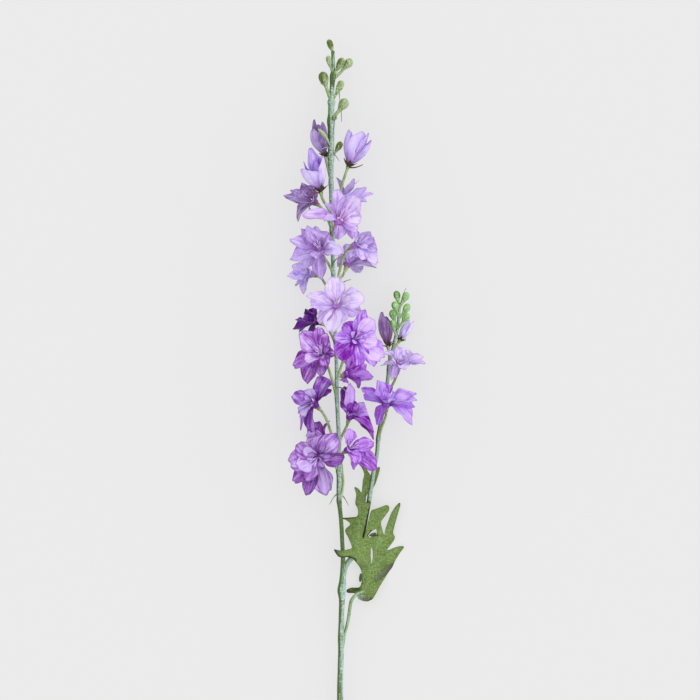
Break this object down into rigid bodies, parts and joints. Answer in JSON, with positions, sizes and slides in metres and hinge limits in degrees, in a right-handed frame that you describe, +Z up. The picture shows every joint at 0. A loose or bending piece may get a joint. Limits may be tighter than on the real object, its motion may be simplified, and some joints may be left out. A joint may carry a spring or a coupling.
{
  "type": "delphinium flower spike",
  "caption": "Cut delphinium flower spike lying flat: long bare stem, lobed leaf, side branch, open lilac to purple blooms along the upper half, closing to purple and green buds at the tip.",
  "frame": {"origin": "middle of the whole spike's box seen from above, on the table that it lies on", "axes": "+Y along the stem from the cut end to the tip, +X to the side of the small branch, +Z up from the table towards the blooms that face the viewer"},
  "size_m": [0.1154, 0.6251, 0.0541],
  "materials": {
    "stem": "matte, pale blue-green with a bloom of wax",
    "leaf": "matte woven",
    "petals_pale": "matte, thin",
    "petals_mid": "matte, thin",
    "petals_deep": "matte, thin",
    "stamens": "matte"
  },
  "bodies": {
    "root": {"stem": "stem", "leaf": "leaf", "bloom_bottom_back": "petals_deep", "bloom_bottom_front": "petals_deep", "bloom_bottom_right": "petals_deep", "bloom_branch_low": "petals_deep", "bloom_branch_top": "petals_mid", "bloom_lower_left": "petals_deep", "bloom_lower_right": "petals_deep", "bloom_middle_back_left": "petals_mid", "bloom_middle_back_right": "petals_mid", "bloom_middle_front": "petals_mid", "bloom_middle_left": "petals_mid", "bloom_middle_right": "petals_mid", "bloom_top_left": "petals_pale", "bloom_top_right": "petals_pale", "bloom_upper_back": "petals_pale", "bloom_upper_front": "petals_pale", "bloom_upper_left": "petals_pale", "bloom_upper_low_left": "petals_pale", "bloom_upper_right": "petals_pale", "bud_branch_left": "petals_pale", "bud_branch_right": "petals_pale", "bud_half_open": "petals_pale", "bud_top_left": "petals_pale", "bud_top_right": "petals_pale", "stamens_bottom_front": "stamens", "stamens_bottom_right": "stamens", "stamens_middle_front": "stamens", "stamens_middle_left": "stamens", "stamens_middle_right": "stamens", "stamens_upper_front": "stamens", "stamens_upper_left": "stamens", "stamens_upper_right": "stamens"}
  },
  "joints": []
}
